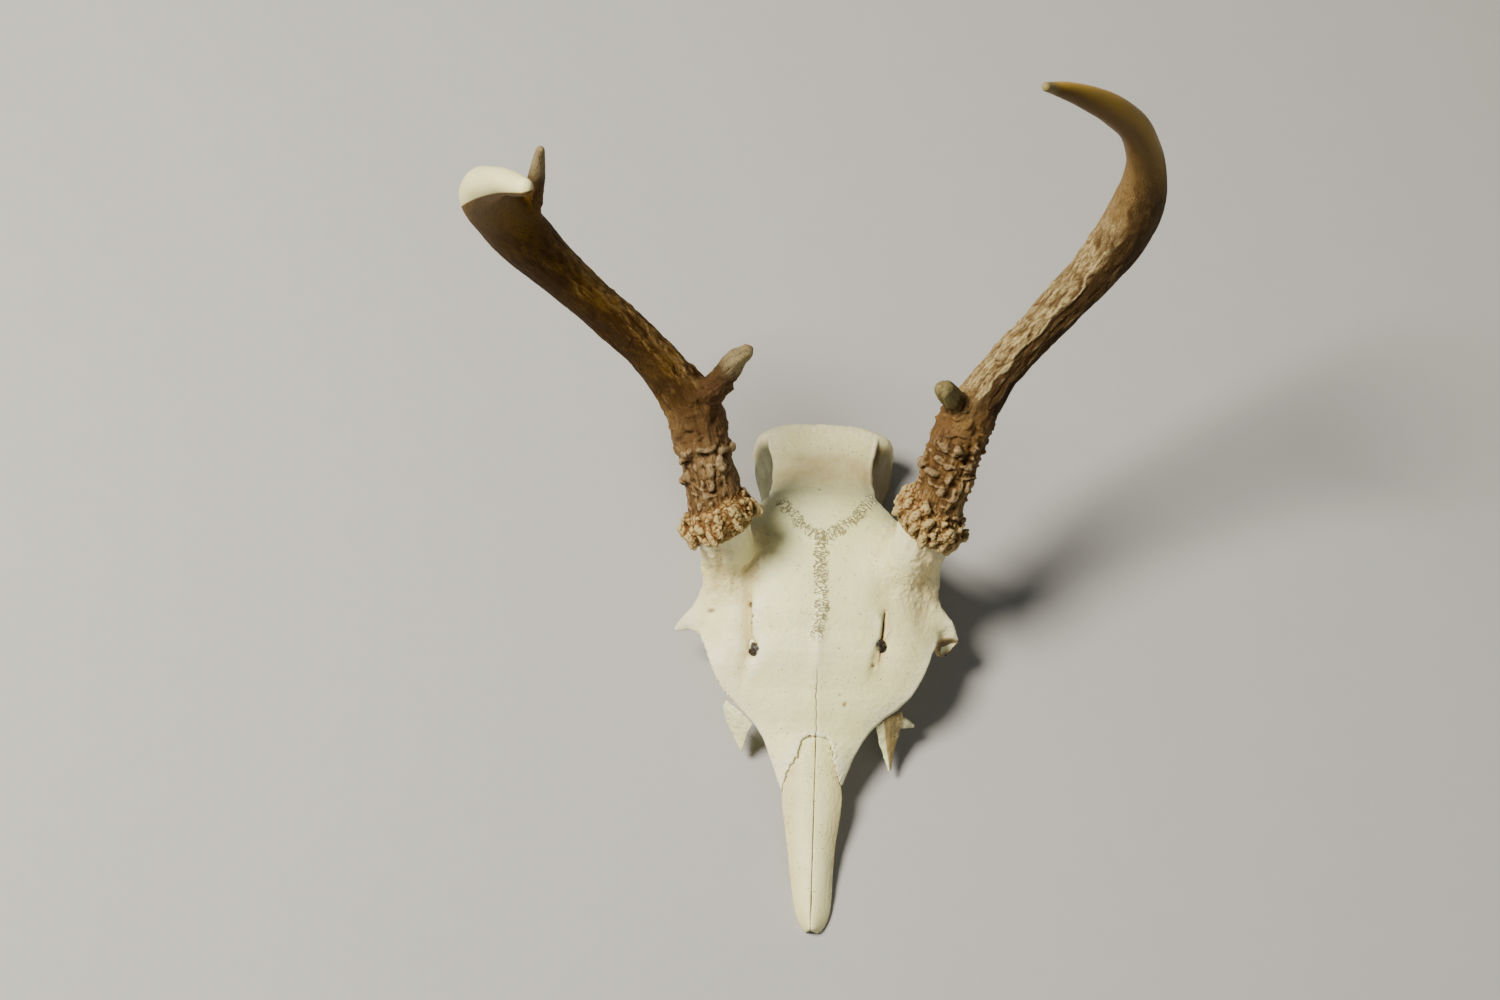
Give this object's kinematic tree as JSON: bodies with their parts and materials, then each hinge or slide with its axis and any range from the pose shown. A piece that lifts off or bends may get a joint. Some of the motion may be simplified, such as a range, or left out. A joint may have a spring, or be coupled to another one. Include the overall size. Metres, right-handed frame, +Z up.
{
  "type": "deer skull cap with antlers",
  "caption": "Sawn skull cap of a young white-tailed deer buck with both antlers, lying on its flat cut edge, antlers rising back, out and up.",
  "frame": {"origin": "on the flat cut edge under the back of the braincase, on the mid-line of the skull", "axes": "+Z up, away from the surface that the cut edge rests on; -Y towards the tip of the nose; +X towards the deer's left side"},
  "size_m": [0.2643, 0.2441, 0.2929],
  "materials": {
    "bone": "matte ivory bone",
    "antler": "rough brown antler with pale ridges",
    "antler_tip": "smooth, softly polished antler"
  },
  "bodies": {
    "root": {"cranium": "bone", "nasal_right": "bone", "nasal_left": "bone", "lacrimal_right": "bone", "lacrimal_left": "bone", "antler_right_burr": "antler", "antler_right_base": "antler", "antler_right_beam": "antler", "antler_left_burr": "antler", "antler_left_base": "antler", "antler_left_beam": "antler", "antler_right_tip": "antler_tip", "antler_left_tip": "antler_tip", "antler_right_brow_tine": "antler_tip", "antler_left_brow_tine": "antler_tip", "antler_right_upper_tine": "antler_tip"}
  },
  "joints": []
}
